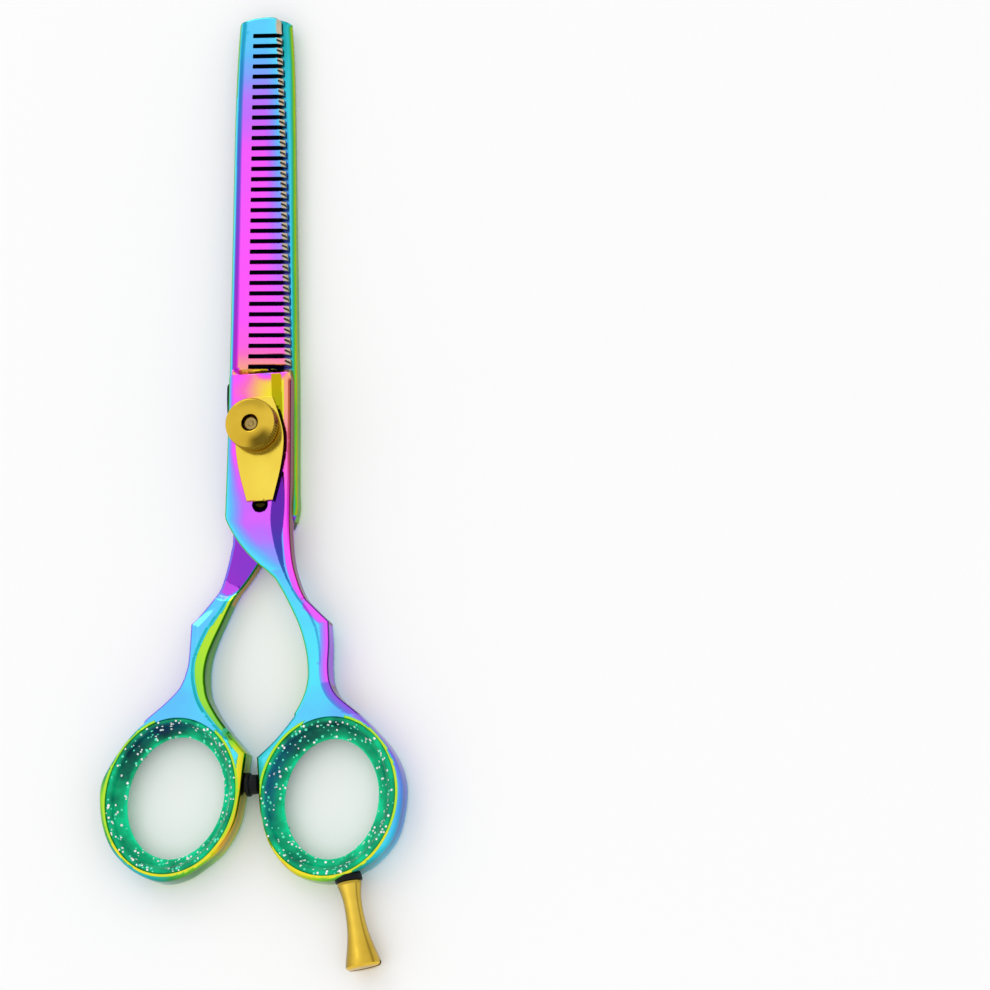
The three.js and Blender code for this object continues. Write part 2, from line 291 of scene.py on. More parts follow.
def turned(name, profile, steps, place, sharp=30):
    """A turned body from (radius, height) corners that start and end on its axis; place moves it."""
    vertices, faces, rows = [], [], []
    for radius, height in profile:
        if radius == 0:
            rows.append([len(vertices)] * steps)
            vertices.append((0, 0, height))
            continue
        rows.append(list(range(len(vertices), len(vertices) + steps)))
        for i in range(steps):
            angle = 2 * math.pi * i / steps
            vertices.append((radius * math.cos(angle), radius * math.sin(angle), height))
    for low, high in zip(rows, rows[1:]):
        for i in range(steps):
            j = (i + 1) % steps
            corners = [low[i], low[j], high[j], high[i]]
            faces.append(tuple(dict.fromkeys(corners)))
    return make_mesh(name, [tuple(place @ Vector(v)) for v in vertices], faces, sharp=sharp)


def tube_faces(rows, steps, flipped=False):
    """Quads between rows of points round a closed tube, whose last row joins its first."""
    faces = []
    for row in range(rows):
        a, b = row * steps, (row + 1) % rows * steps
        for i in range(steps):
            j = (i + 1) % steps
            sides = (a + j, b + j, b + i)
            faces.append((a + i, *(sides[::-1] if flipped else sides)))
    return faces


def rounded(corners, radius, steps=3):
    """A profile with each of its middle corners rounded."""
    result = [corners[0]]
    for before, corner, after in zip(corners, corners[1:], corners[2:]):
        a, c, b = Vector(before), Vector(corner), Vector(after)
        reach = min(radius, (a - c).length * 0.45, (b - c).length * 0.45)
        p, q = c + (a - c).normalized() * reach, c + (b - c).normalized() * reach
        for i in range(steps + 1):
            t = i / steps
            result.append(tuple(p * (1 - t) ** 2 + c * 2 * t * (1 - t) + q * t ** 2))
    return result + [corners[-1]]


def cut(piece, cutter):
    """Takes the cutter's shape out of the piece and removes the cutter."""
    modifier = piece.modifiers.new("cut", "BOOLEAN")
    modifier.object = cutter
    modifier.solver = "EXACT"
    graph = bpy.context.evaluated_depsgraph_get()
    mesh = bpy.data.meshes.new_from_object(piece.evaluated_get(graph))
    piece.modifiers.clear()
    piece.data = mesh
    bpy.data.objects.remove(cutter)


def box_cutter(size, place):
    bm = bmesh.new()
    bmesh.ops.create_cube(bm, size=1)
    mesh = bpy.data.meshes.new("cutter")
    bm.transform(Matrix.Scale(MM, 4) @ place @ Matrix.Diagonal((*size, 1)))
    bm.to_mesh(mesh)
    bm.free()
    cutter = bpy.data.objects.new("cutter", mesh)
    bpy.context.scene.collection.objects.link(cutter)
    return cutter


# ------------------------------------------------------------------ materials

# The coating's colour goes round this circle as the film gets thicker
RAINBOW = (
    (0.00, (0.93, 0.76, 0.04)), (0.08, (0.95, 0.42, 0.20)), (0.17, (0.98, 0.17, 0.55)),
    (0.26, (0.99, 0.10, 0.98)), (0.36, (0.55, 0.16, 1.00)), (0.46, (0.28, 0.30, 1.00)),
    (0.56, (0.13, 0.50, 0.98)), (0.66, (0.10, 0.80, 0.98)), (0.76, (0.03, 0.52, 0.50)),
    (0.84, (0.08, 0.48, 0.12)), (0.92, (0.40, 0.80, 0.05)), (1.00, (0.93, 0.76, 0.04)),
)
# Colours for the insert's painted light: dark where the silicone is deep and in painted shade, bright where
# thin silicone is painted as lit through
SILICONE_PAINTED_LIGHT = ((0.0, (0.0, 0.02, 0.03)), (0.3, (0.0, 0.13, 0.08)), (0.6, (0.0, 0.40, 0.17)),
                   (1.0, (0.0, 0.85, 0.40)))
SOFT_SPECULAR = 0.12
BUMP_DISTANCE = 0.0001


class Look:
    """A material in the making; its methods add shader nodes and return their outputs."""

    def __init__(self, name):
        self.material = bpy.data.materials.new(name)
        self.material.use_nodes = True
        self.nodes = self.material.node_tree.nodes
        self.shader = self.nodes["Principled BSDF"]

    def feed(self, socket, value):
        """Links a node's output to the socket, or sets the socket to a number or a colour."""
        if isinstance(value, bpy.types.NodeSocket):
            self.material.node_tree.links.new(value, socket)
        elif socket.type == "RGBA":
            socket.default_value = (*value, 1)
        else:
            socket.default_value = value

    def put(self, name, value):
        self.feed(self.shader.inputs[name], value)

    def noise(self, scale, detail=3.0, stretch=None):
        """Noise in object space; stretch makes it streaky."""
        source = self.nodes.new("ShaderNodeTexCoord").outputs["Object"]
        if stretch:
            mapping = self.nodes.new("ShaderNodeMapping")
            self.feed(mapping.inputs["Scale"], stretch)
            self.feed(mapping.inputs["Vector"], source)
            source = mapping.outputs["Vector"]
        texture = self.nodes.new("ShaderNodeTexNoise")
        for name, value in (("Scale", scale), ("Detail", detail), ("Vector", source)):
            self.feed(texture.inputs[name], value)
        return texture.outputs["Fac"]

    def lathe_rings(self):
        """The fine rings that a lathe leaves round the pivot axis."""
        rings = self.nodes.new("ShaderNodeTexWave")
        rings.wave_type = "RINGS"
        rings.rings_direction = "Z"
        source = self.nodes.new("ShaderNodeTexCoord").outputs["Object"]
        for name, value in (("Scale", 1400), ("Distortion", 1.5), ("Vector", source)):
            self.feed(rings.inputs[name], value)
        return rings.outputs["Fac"]

    def remap(self, value, low, high, from_low=0.3, from_high=0.7):
        node = self.nodes.new("ShaderNodeMapRange")
        ends = {"From Min": from_low, "From Max": from_high, "To Min": low, "To Max": high}
        for name, end in {"Value": value, **ends}.items():
            self.feed(node.inputs[name], end)
        return node.outputs["Result"]

    def combine(self, operation, a, b):
        node = self.nodes.new("ShaderNodeMath")
        node.operation = operation
        self.feed(node.inputs[0], a)
        self.feed(node.inputs[1], b)
        return node.outputs[0]

    def mixed(self, share, a, b, blend="MIX"):
        node = self.nodes.new("ShaderNodeMix")
        node.data_type = "RGBA"
        node.blend_type = blend
        sockets = [s for s in node.inputs if s.type == "RGBA"]
        for socket, value in zip((node.inputs[0], *sockets), (share, a, b)):
            self.feed(socket, value)
        return [s for s in node.outputs if s.type == "RGBA"][0]

    def ramp(self, value, stops):
        """A colour ramp through (place, colour) stops."""
        node = self.nodes.new("ShaderNodeValToRGB")
        elements = node.color_ramp.elements
        elements.remove(elements[1])
        for i, (place, colour) in enumerate(stops):
            stop = elements[0] if i == 0 else elements.new(place)
            stop.position = place
            stop.color = (*colour, 1)
        self.feed(node.inputs["Fac"], value)
        return node.outputs["Color"]

    def attribute(self, name):
        node = self.nodes.new("ShaderNodeAttribute")
        node.attribute_name = name
        return node.outputs["Fac"]

    def bump(self, height, strength):
        node = self.nodes.new("ShaderNodeBump")
        node.inputs["Strength"].default_value = strength
        node.inputs["Distance"].default_value = BUMP_DISTANCE
        self.feed(node.inputs["Height"], height)
        self.put("Normal", node.outputs["Normal"])


def rainbow_steel():
    look = Look("rainbow steel")
    drift = look.remap(look.noise(90), -0.02, 0.02)
    tint = look.combine("FRACT", look.combine("ADD", look.attribute("tint"), drift), 0.0)
    film = look.ramp(tint, RAINBOW)
    bare, shade = look.attribute("bare"), look.attribute("shade")
    steel = look.mixed(1.0, (0.60, 0.50, 0.36), look.remap(look.noise(700), 0.85, 1.1), "MULTIPLY")
    richer = look.nodes.new("ShaderNodeGamma")
    look.feed(richer.inputs["Color"], film)
    look.feed(richer.inputs["Gamma"], look.remap(shade, 2.2, 1.0, 0.0, 1.0))
    colour = look.mixed(bare, richer.outputs["Color"], steel)
    look.put("Base Color", look.mixed(1.0, colour, shade, "MULTIPLY"))
    look.put("Metallic", 1)
    smears = look.remap(look.noise(160, 5), 0.10, 0.20)
    look.put("Roughness", look.combine("ADD", smears, look.combine("MULTIPLY", bare, 0.2)))
    look.bump(look.noise(900, 2, (8, 0.6, 1)), 0.04)
    return look.material


def gold_steel(name, dark, light, lathed=False):
    look = Look(name)
    colour = look.mixed(look.remap(look.noise(120), 0, 1), dark, light)
    look.put("Base Color", look.mixed(1.0, colour, look.attribute("shade"), "MULTIPLY"))
    look.put("Metallic", 1)
    look.put("Roughness", look.remap(look.noise(400, 4), 0.10, 0.24))
    if lathed:
        look.bump(look.lathe_rings(), 0.10)
    else:
        look.bump(look.noise(1200, 2), 0.06)
    return look.material


def bare_steel():
    look = Look("bare steel")
    tone = look.remap(look.noise(300), 0, 1)
    look.put("Base Color", look.mixed(tone, (0.28, 0.19, 0.06), (0.50, 0.37, 0.14)))
    look.put("Metallic", 1)
    look.put("Roughness", look.remap(look.noise(700), 0.25, 0.40))
    look.bump(look.noise(1500), 0.1)
    return look.material


def green_silicone():
    look = Look("green silicone")
    cloud = look.remap(look.noise(300, 5), -0.2, 0.2)
    # The tint attribute carries the insert's painted light and shade; the cloud adds random tone
    depth = look.combine("ADD", look.attribute("tint"), cloud)
    colour = look.mixed(look.attribute("blue"), look.ramp(depth, SILICONE_PAINTED_LIGHT), (0.0, 0.06, 0.20))
    look.put("Base Color", colour)
    look.put("Specular IOR Level", SOFT_SPECULAR)
    look.put("Roughness", look.remap(look.noise(500), 0.15, 0.30))
    look.bump(look.noise(260, 3), 0.25)
    return look.material


def glitter(name, colour):
    look = Look(name)
    look.put("Base Color", look.mixed(1.0, colour, look.remap(look.noise(900), 0.75, 1.0), "MULTIPLY"))
    look.put("Metallic", 0.2)
    look.put("Roughness", look.remap(look.noise(800), 0.15, 0.35))
    return look.material


def black_rubber():
    look = Look("black rubber")
    dust = look.remap(look.noise(500, 5), 0, 1, 0.55, 0.8)
    look.put("Base Color", look.mixed(dust, (0.005, 0.006, 0.007), (0.02, 0.022, 0.024)))
    look.put("Specular IOR Level", SOFT_SPECULAR)
    look.put("Roughness", look.remap(look.noise(300), 0.35, 0.55))
    look.bump(look.noise(900), 0.15)
    return look.material


def white_nylon():
    look = Look("white nylon")
    tone = look.remap(look.noise(400), 0, 1)
    look.put("Base Color", look.mixed(tone, (0.78, 0.77, 0.72), (0.86, 0.85, 0.81)))
    look.put("Roughness", look.remap(look.noise(500), 0.4, 0.6))
    return look.material


def studio_floor():
    look = Look("studio floor")
    tone = look.remap(look.noise(3), 0.94, 0.96)
    look.put("Base Color", look.mixed(1.0, (1.0, 1.0, 1.0), tone, "MULTIPLY"))
    look.put("Roughness", 0.9)
    look.put("Specular IOR Level", 0.1)
    return look.material


RAINBOW_STEEL = rainbow_steel()
LEAF_GOLD = gold_steel("leaf gold", (0.84, 0.60, 0.06), (0.94, 0.72, 0.09))
KNOB_GOLD = gold_steel("knob gold", (0.64, 0.41, 0.035), (0.80, 0.55, 0.06), lathed=True)
REST_GOLD = gold_steel("rest gold", (0.60, 0.37, 0.03), (0.82, 0.58, 0.08))
STEEL = bare_steel()
SILICONE = green_silicone()
RUBBER = black_rubber()
NYLON = white_nylon()


def finish_piece(piece, material, slot, body, *nodes):
    piece.data.materials.append(material)
    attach(piece, body)
    if nodes:
        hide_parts(*nodes)


# ----------------------------------------------------------------- two halves

FINGER_RING = {"hole": (12.6, -63.7, 11.4, 13.15), "throat": (12.7, -63.9, 8.1, 10.1), "lean": 6}
THUMB_RING = {"hole": (-14.8, -62.6, 11.1, 13.1), "throat": (-14.5, -62.7, 8.4, 10.4), "lean": 14}


def ramp_between(y, y0, z0, y1, z1):
    """A straight line between two heights, level beyond both ends."""
    return z0 + (z1 - z0) * np.clip((y - y0) / (y1 - y0), 0, 1)


def lip(depth, radius):
    """How far a rounded edge falls below the face, for points at some depth from the edge."""
    t = np.clip(1 - depth / radius, 0, 1)
    return radius * (1 - np.sqrt(np.maximum(1 - t * t, 0)))


def chamfer(depth, width, drop):
    return drop * np.clip(1 - depth / width, 0, 1)


def spread(points, anchors, softness=2.0):
    """Blends (x, y, value) anchors over the points by nearness."""
    anchors = np.array(anchors)
    gap2 = ((points[:, None] - anchors[None, :, :2]) ** 2).sum(2)
    weight = 1 / (gap2 + softness ** 2) ** 2
    return (weight * anchors[:, 2]).sum(1) / weight.sum(1)


# Coating colour, painted light and shade, and bare steel, the same for all the points
def coat_and_shade(points, tint, shade=1.0, bare=0.0):
    full = np.ones(len(points))
    return {"tint": tint * full, "shade": shade * full, "bare": bare * full}


def stripe(paint, where, tint=None, shade=None, bare=None):
    """Repaints the points where the mask is set."""
    for key, value in (("tint", tint), ("shade", shade), ("bare", bare)):
        if value is not None:
            paint[key] = np.where(where, value, paint[key])


# Lines along the middle of each shank, as (y, x)
TOOTHED_MIDDLE = ((-50, 13.0), (-46, 11.2), (-42, 10.9), (-38, 10.4), (-34, 9.6), (-30, 6.8), (-27, 5.2),
                  (-24, 3.7))
PLAIN_MIDDLE = ((-60, -10.4), (-38, -10.2), (-33.2, -9.1), (-31, -7.4), (-28, -5.6), (-25, -3.9), (-21, -2.8),
                (-16, -1.0))


def right_of(line, x, y):
    """Whether a point lies to the right of a line given as (y, x), from the bottom up."""
    ys, xs = zip(*line)
    return x > np.interp(y, ys, xs)


def toothed_edge(x, y, hole):
    if hole:
        return "bore" if math.hypot(x, y) < 6 else "hole"
    if y > 10.6 and -2.2 < x < 6.2 and y < 72.0:
        return "tooth"
    if y > -15.5 and x < -3 and y < 73.4:
        return "spine"
    if y > 8 and x > 4:
        return "tip_right"
    if y > 72:
        return "tip"
    right = right_of(TOOTHED_MIDDLE, x, y)
    if right and y > -31:
        return "hub_right"
    if y > -50:
        return "shank_outer" if right else "shank_inner"
    return "ring"


def plain_edge(x, y, hole):
    if hole:
        return "bore" if math.hypot(x, y) < 6 else "hole"
    if y > 9 and x < 0 and y < 72.4:
        return "spine"
    if y > 72.4:
        return "tip"
    if x > 4.5 and y > -15:
        return "edge"
    if right_of(PLAIN_MIDDLE, x, y) and y > -52:
        return "shank_inner" if y < -16 else "back"
    if y > -50:
        return "shank_outer"
    return "ring"


def half_plan(node, side, bore, edge_class):
    loops = [smooth_loop(loop) for loop in plan_loops(node, side) if np.hypot(*loop.T).max() > 6]
    loops.sort(key=lambda loop: -np.ptp(loop[:, 1]))
    return Plan(loops + [circle(0, 0, bore)], edge_class)


def tooth_tips(plan):
    """The middle of each tooth's end, from the tip downwards."""
    middle = (plan.start + plan.end) / 2
    along = plan.end - plan.start
    upright = (np.abs(along[:, 1]) > 3 * np.abs(along[:, 0])) & (plan.kind == "tooth") & (middle[:, 0] > 2.5)
    places = middle[upright]
    places = places[np.argsort(-places[:, 1])]
    groups = np.split(places, np.nonzero(np.diff(places[:, 1]) < -0.7)[0] + 1)
    return np.array([g.mean(0) for g in groups])


FACE_TINTS = ((75, 0.61), (69, 0.57), (64, 0.49), (60, 0.39), (55, 0.32), (50, 0.28), (20, 0.26),
              (15, 0.21), (12.3, 0.12), (10, 0.06))
FACE_RIGHT_TINTS = ((75, 0.66), (66, 0.64), (55, 0.61), (45, 0.54), (30, 0.38), (20, 0.28), (15, 0.22),
                    (10, 0.06))
# Colour round each finger ring, by the angle about the ring's middle
FINGER_RING_TINTS = ((-180, 0.92), (-150, 0.96), (-125, 1.02), (-100, 0.92), (-80, 0.84), (-60, 0.74),
                     (-40, 0.66), (-20, 0.58), (0, 0.52), (25, 0.44), (50, 0.38), (75, 0.45), (110, 0.62),
                     (150, 0.72), (180, 0.92))
THUMB_RING_TINTS = ((-180, 0.92), (-155, 0.86), (-130, 0.70), (-108, 0.73), (-88, 0.84), (-62, 0.92),
                    (-45, 1.03), (-15, 1.04), (10, 1.02), (35, 0.94), (60, 0.72), (100, 0.64), (140, 0.68),
                    (165, 0.84), (180, 0.92))
HUB_TINTS = (
    (-3, 9, 0.29), (-3, 4, 0.27), (-1.6, 8, 0.16), (0, 7.5, 0.03), (2, 7, 0.0), (2.5, 3, -0.02),
    (3.4, 6, -0.05), (3.8, 0, -0.04), (3.6, -6, 0.26), (-3, -3, 0.27), (-3, -9, 0.31), (-2, -13, 0.36),
    (1, -15, 0.32), (3, -15, 0.29), (1, -19, 0.38), (3, -19, 0.34), (1.5, -22, 0.48), (3.2, -23, 0.46),
    (3.5, -26, 0.58), (5, -28, 0.60), (8, -33, 0.62), (10, -38, 0.65), (10.5, -43, 0.66), (11, -47, 0.62),
    (9, -50, 0.60), (15, -50, 0.57), (3, -55, 0.66), (0.7, -62, 0.80), (1.5, -70, 0.88), (7, -77, 0.92),
    (12, -78, 0.94), (20, -75, 0.64), (24.5, -66, 0.60), (24, -58, 0.56), (20, -52, 0.57),
)
CREASE = dense([(3.6, -8.0), (2.8, -13.1), (2.6, -15.5), (3.3, -20.6), (4.6, -24.6), (5.7, -27.1),
                (7.1, -29.7), (9.1, -32.5), (10.3, -35.2), (10.9, -38), (11.1, -42)])
LENS_RIGHT = dense([(4.9, -8.0), (4.9, -16.5), (4.6, -19.3), (4.8, -21.7), (5.2, -24.9), (6.0, -27.0),
                     (7.4, -29.5), (9.4, -32.3), (10.6, -34.8), (11.2, -37.5), (11.3, -42)])


def curve_x(curve, y):
    """The x of a curve that runs downwards, at each y."""
    return np.interp(-y, -curve[:, 1], curve[:, 0])


def make_leaf_plan():
    loops = [smooth_loop(loop, 0.3, math.radians(30)) for loop in plan_loops("leaf_spring", 1)]
    loops.sort(key=lambda loop: -np.ptp(loop[:, 1]))
    return Plan([loops[0], circle(0, 0, 1.7)], lambda x, y, hole: "edge")


leaf_plan = make_leaf_plan()
toothed_plan = half_plan("toothed_half", -1, 2.15, toothed_edge)
TIPS = tooth_tips(toothed_plan)


def seam(curve, half_width=0.06, step=0.3):
    """Mesh points in two rows along a curve, so that a colour can change sharply there."""
    points = hermite(np.array(curve, float), step)
    along = np.gradient(points, axis=0)
    across = np.stack([-along[:, 1], along[:, 0]], 1) / np.hypot(*along.T)[:, None] * half_width
    return np.vstack([points - across, points + across])


def leaf_outside(gap):
    """Points along the right side of the leaf spring, at a distance outside it."""
    loop = leaf_plan.loops[0]
    along = np.roll(loop, -1, 0) - loop
    points = loop + np.stack([along[:, 1], -along[:, 0]], 1) / np.hypot(*along.T)[:, None] * gap
    return points[(points[:, 0] > 0.75) & (points[:, 1] > -13) & (points[:, 1] < 3)]


def comb_levels(points):
    """(height of the spine's crest, height of the face beside it) for the comb blade."""
    y = points[:, 1]
    crest = ramp_between(y, TIP_Y, MATING + 1.2, SHOULDER_Y, HUB_TOP)
    face = ramp_between(y, TIP_Y, MATING + 1.0, SHOULDER_Y, MATING + 1.75)
    return crest, face


def hollow_share(points, spine):
    """0 on the spine and the hub, 1 on the hollow-ground face, with a round inside corner."""
    corner = 1.9
    across = np.maximum(corner - (spine - SPINE_CREST), 0)
    down = np.maximum(corner - (points[:, 1] - SHOULDER_Y - 0.1), 0)
    depth = corner - np.hypot(across, down)
    return np.clip(depth / (SPINE_END - SPINE_CREST), 0, 1)


NOTCH_SLOPE = 0.4


def notch(points, width=0.13, reach=0.8):
    """1 in the slanting line at the middle of each tooth's end."""
    result = np.zeros(len(points))
    for x, y in TIPS[1:]:
        slant = (points[:, 0] - x + reach / 2) * NOTCH_SLOPE
        near = (np.abs(points[:, 1] - y + slant) < width) & (points[:, 0] > x - reach)
        result[near & (points[:, 0] < x + 0.3)] = 1
    return result


def tooth_end_distance(points):
    """Distance to the line through the tooth tips, for points on the teeth and the tip."""
    line_x = np.interp(points[:, 1], TIPS[::-1, 1], TIPS[::-1, 0])
    return np.where(points[:, 1] > 10.3, np.maximum(line_x - points[:, 0], 0), 99)


def pocket_share(points):
    """1 in the round pocket that takes the leaf's tab."""
    return np.clip((1.35 - np.hypot(points[:, 0] - 0.75, points[:, 1] + 13.4)) / 0.25, 0, 1)


def lens_share(points):
    x, y = points.T
    left, right = curve_x(CREASE, y), curve_x(LENS_RIGHT, y)
    across = np.clip((x - left) / 0.25, 0, 1) * np.clip((right - x) / 0.25, 0, 1)
    return across * (y < -8) * (y > -42)


def toothed_top(points):
    y = points[:, 1]
    crest, face = comb_levels(points)
    spine = toothed_plan.distance(points, "spine")
    height = crest + (face - crest) * hollow_share(points, spine)
    rise = ramp_between(y, SHANK_RISE[1], RING_TOP, SHANK_RISE[0], HUB_TOP)
    height = np.where(y < SHANK_RISE[0], rise, height)
    height = height - 0.5 * np.clip(1 - spine / SPINE_CREST, 0, 1) * (y > SHOULDER_Y)
    height = height - chamfer(spine, 0.9, 0.3) * (y <= SHOULDER_Y)
    height = height - chamfer(toothed_plan.distance(points, "hub_right"), 1.1, 0.45) * (y > -30)
    outer = toothed_plan.distance(points, "shank_outer")
    height = height - chamfer(outer, 1.5, 0.75) * np.clip((-27 - y) / 3, 0, 1)
    height = height - chamfer(toothed_plan.distance(points, "shank_inner"), 0.35, 0.2)
    for kind, radius in (("hole", 0.2), ("ring", 1.1), ("tip", 0.25), ("tip_right", 0.2), ("tooth", 0.08)):
        height = height - lip(toothed_plan.distance(points, kind), radius)
    height = height - chamfer(tooth_end_distance(points), TOOTH_FACET, 0.5) - 0.25 * notch(points)
    return height - 0.18 * lens_share(points) - 1.0 * pocket_share(points)


def toothed_bottom(points):
    y = points[:, 1]
    height = ramp_between(y, SHANK_RISE[1], RING_LOW, SHANK_RISE[0], MATING + 0.15)
    for kind, radius in (("hole", 0.35), ("ring", 0.55), ("shank_outer", 0.35), ("shank_inner", 0.35)):
        height = height + lip(toothed_plan.distance(points, kind), radius) * (y < -32)
    washer = np.hypot(*points.T) < 3.9
    return height + 0.8 * washer


def face_tint(y, tints=FACE_TINTS):
    ys, values = zip(*reversed(tints))
    return np.interp(y, ys, values)


def ring_tint(points, ring, tints):
    around = np.degrees(np.arctan2(points[:, 1] - ring["hole"][1], points[:, 0] - ring["hole"][0]))
    degrees, values = zip(*tints)
    return np.interp(around, degrees, values)


def paint_ring(paint, points, plan, ring, tints):
    """The rounded rim takes the colour of the wall, with a bright line along the hole."""
    rim, hole = plan.distance(points, "ring"), plan.distance(points, "hole")
    colour = ring_tint(points, ring, tints)
    on_rim = (rim < 1.15) & (points[:, 1] < -50)
    stripe(paint, on_rim, tint=colour, shade=np.interp(rim, (0, 0.5, 1.0), (0.7, 0.9, 1.0)))
    line = np.where(points[:, 1] < -70, 0.98, 0.93)
    stripe(paint, (hole < 0.5) & (rim < 2.4), tint=line, shade=1.0)


def paint_ring_wall(paint, points, share, ring, tints):
    colour = ring_tint(points, ring, tints) - 0.04
    shade = np.interp(share, (0, 0.25, 0.7, 1), (0.8, 0.35, 0.75, 0.5))
    stripe(paint, points[:, 1] < -50, tint=colour, shade=shade)


def paint_comb(paint, points):
    """The comb blade: its long faces, the spine along its back and the ends of its teeth."""
    x, y = points.T
    spine = toothed_plan.distance(points, "spine")
    blade = y > SHOULDER_Y + 0.2
    left, right = face_tint(y), face_tint(y, FACE_RIGHT_TINTS)
    stripe(paint, blade, tint=left + (right - left) * np.clip((x - 0.6) / 2.8, 0, 1) ** 1.3)
    share = hollow_share(points, spine)
    dark = np.interp(y, (10, 20, 40, 60, 75), (0.29, 0.32, 0.42, 0.54, 0.64))
    depth = np.interp(share, (0.0, 0.15, 0.8, 1.0), (0.95, 0.62, 0.6, 0.95))
    stripe(paint, blade & (share > 0.01) & (share < 0.99), tint=dark, shade=depth)
    stripe(paint, blade & (spine <= SPINE_CREST + 0.02), tint=0.67, shade=1.0)
    ledge = blade & (y < SHOULDER_Y + 1.35) & (spine > 1.9)
    stripe(paint, ledge, tint=np.interp(x, (-2, 1, 4), (0.04, -0.03, 0.0)), shade=0.7)
    stripe(paint, ledge & (x > 4.6), shade=0.75, bare=1.0)
    stripe(paint, blade & (y < SHOULDER_Y + 0.5) & (spine > 1.9), shade=0.35)
    stripe(paint, (y > -15.4) & (spine < np.where(y > 60, 0.32, 0.16)), tint=0.88, shade=0.9)
    stripe(paint, toothed_plan.distance(points, "tip") < 0.2, tint=0.86, shade=0.9)
    stripe(paint, tooth_end_distance(points) < TOOTH_FACET, shade=0.95, bare=1.0)
    # Painted shade in the notch at each tooth's end
    stripe(paint, notch(points) > 0, shade=0.15)


def paint_hub(paint, points):
    """The hub's right side: an olive band, a pink band and a dark outer edge."""
    x, y = points.T
    right = toothed_plan.distance(points, "hub_right")
    hub = (y < SHOULDER_Y + 0.1) & (y > -31)
    olive = hub & (y > -3) & (np.abs(x - 3.85 + 0.04 * y) < 0.9) & (right > 1.12)
    stripe(paint, olive, tint=-0.02, shade=np.interp(y, (-3, 0, 8), (0.9, 0.6, 0.6)))
    tint = np.interp(-y, (-9, 0, 8, 16, 24, 30), (0.07, 0.12, 0.20, 0.25, 0.28, 0.30))
    stripe(paint, hub & (right < 1.12), tint=tint, shade=1.0)
    edge_tint = np.interp(-y, (-9, 0, 8, 14), (0.08, 0.10, 0.16, 0.25))
    edge_shade = np.interp(-y, (-9, 4, 14, 22), (0.50, 0.50, 0.70, 1.0))
    stripe(paint, hub & (right < 0.5), tint=edge_tint, shade=edge_shade)
    stripe(paint, hub & (right < 0.16), tint=0.17, shade=0.15)
    beyond = (y < -9) & (y > -36) & (x >= curve_x(LENS_RIGHT, y)) & (right > 1.12)
    outer = toothed_plan.distance(points, "shank_outer")
    stripe(paint, beyond & (outer > 1.45), tint=np.interp(-y, (9, 24, 30), (0.47, 0.52, 0.62)), shade=1.0)


def paint_shank(paint, points):
    """The toothed half's shank: a dished lens, an outer chamfer and a bright inner edge."""
    y = points[:, 1]
    outer = toothed_plan.distance(points, "shank_outer")
    inner = toothed_plan.distance(points, "shank_inner")
    lens_tint = np.interp(-y, (8, 16, 22, 27, 38), (0.34, 0.38, 0.46, 0.56, 0.60))
    lens_shade = np.interp(-y, (8, 26, 30, 42), (0.42, 0.45, 0.7, 0.9))
    stripe(paint, lens_share(points) > 0.1, tint=lens_tint, shade=lens_shade)
    band = (y < -28.5) & (y > -50) & (outer < 1.45)
    across = np.clip(outer / 1.45, 0, 1)
    above_knuckle = y > -34.3
    stripe(paint, band & above_knuckle, tint=np.interp(across, (0.2, 0.8, 1), (0.27, 0.30, 0.48)))
    stripe(paint, band & ~above_knuckle, tint=np.interp(across, (0.1, 0.5, 1), (0.27, 0.36, 0.54)))
    stripe(paint, band & (y < -44.5), tint=np.interp(across, (0.2, 0.7, 1), (0.40, 0.46, 0.56)), shade=0.8)
    stripe(paint, (y < -28.5) & (outer < 0.2) & (y > -50), tint=0.36, shade=0.2)
    stripe(paint, (inner < 0.5) & (y < -24), tint=0.68, shade=1.0)
    stripe(paint, inner < 0.18, tint=0.89, shade=0.85)


def paint_toothed(points):
    y = points[:, 1]
    spine = toothed_plan.distance(points, "spine")
    inner = toothed_plan.distance(points, "shank_inner")
    band = np.interp(-y, (-9, 4, 12, 15), (0.9, 1.1, 3.0, 3.6))
    glow = np.maximum(1 - spine / band, (1 - inner / 2.6) * (y > -25))
    hub = spread(points, HUB_TINTS)
    paint = coat_and_shade(points, hub + (0.68 - hub) * np.clip(glow, 0, 1) ** 1.1)
    paint_comb(paint, points)
    paint_hub(paint, points)
    paint_shank(paint, points)
    paint_ring(paint, points, toothed_plan, FINGER_RING, FINGER_RING_TINTS)
    # Painted shadow along the right side of the leaf spring and under it
    by_leaf = (leaf_plan.distance(points) < 0.42) | leaf_plan.inside(points)
    stripe(paint, by_leaf & (points[:, 0] > 0.75) & (y < 3.5) & (y > -12.9), shade=0.02)
    # Painted shade in the pocket under the leaf's tab
    stripe(paint, pocket_share(points) > 0, shade=0.01)
    return paint


def paint_toothed_bottom(points):
    y = points[:, 1]
    paint = coat_and_shade(points, np.where(y > SHOULDER_Y, face_tint(y), spread(points, HUB_TINTS)))
    stripe(paint, (y > -24) & (toothed_plan.distance(points) > 0.6), bare=1.0)
    return paint


